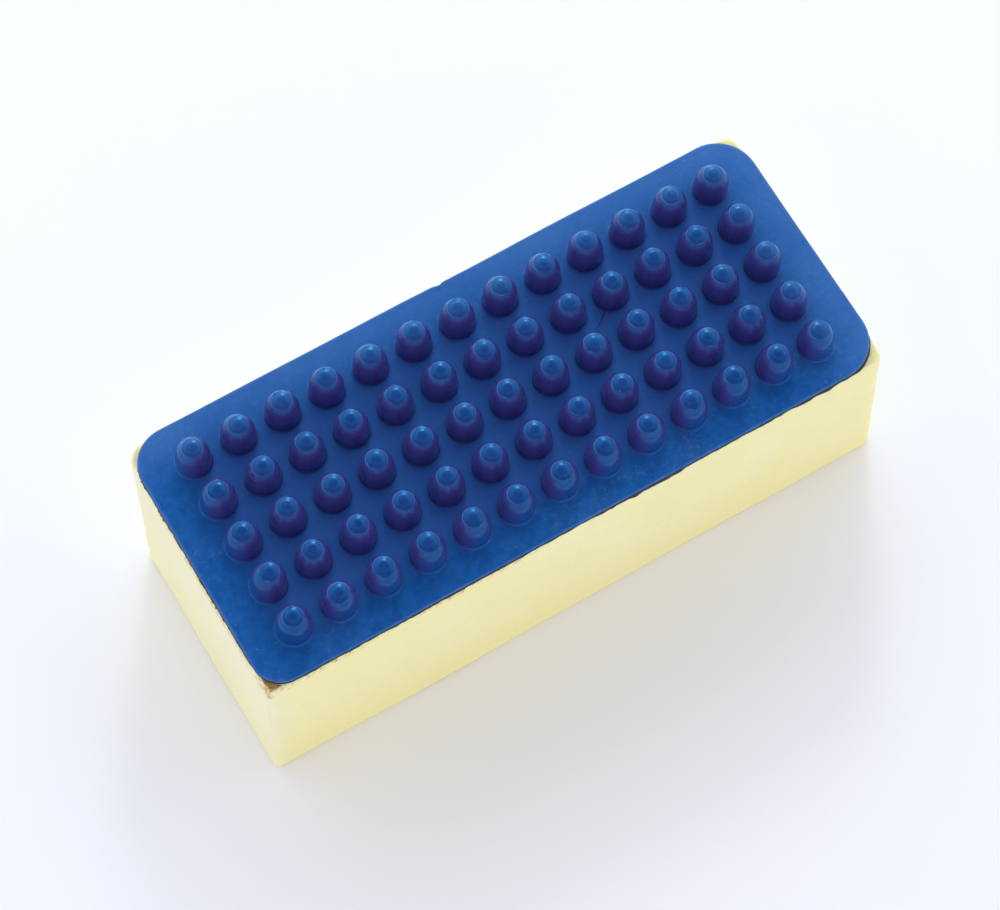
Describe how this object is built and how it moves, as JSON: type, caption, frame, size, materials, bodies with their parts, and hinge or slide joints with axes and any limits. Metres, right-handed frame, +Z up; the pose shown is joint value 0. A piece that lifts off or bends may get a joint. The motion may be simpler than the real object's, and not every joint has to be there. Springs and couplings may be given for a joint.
{
  "type": "chalkboard eraser",
  "caption": "Hand-size foam block eraser faced with a moulded rubber sheet whose rounded nubs stand in a square grid, bonded with contact adhesive.",
  "frame": {"origin": "on the foam's flat bottom face, under the middle of the whole object's box", "axes": "+Z up out of the nubbed face, +X along the length, +Y across the width"},
  "size_m": [0.146, 0.0594, 0.0561],
  "materials": {
    "blue_rubber": "satin moulded rubber, mid blue",
    "contact_adhesive": "set contact adhesive, dark brown, thin edges ochre",
    "cream_foam": "fine open-cell polyurethane foam, pale cream yellow, matt"
  },
  "bodies": {
    "root": {"rubber_facing": "blue_rubber", "adhesive_film": "contact_adhesive", "foam_block": "cream_foam"}
  },
  "joints": []
}
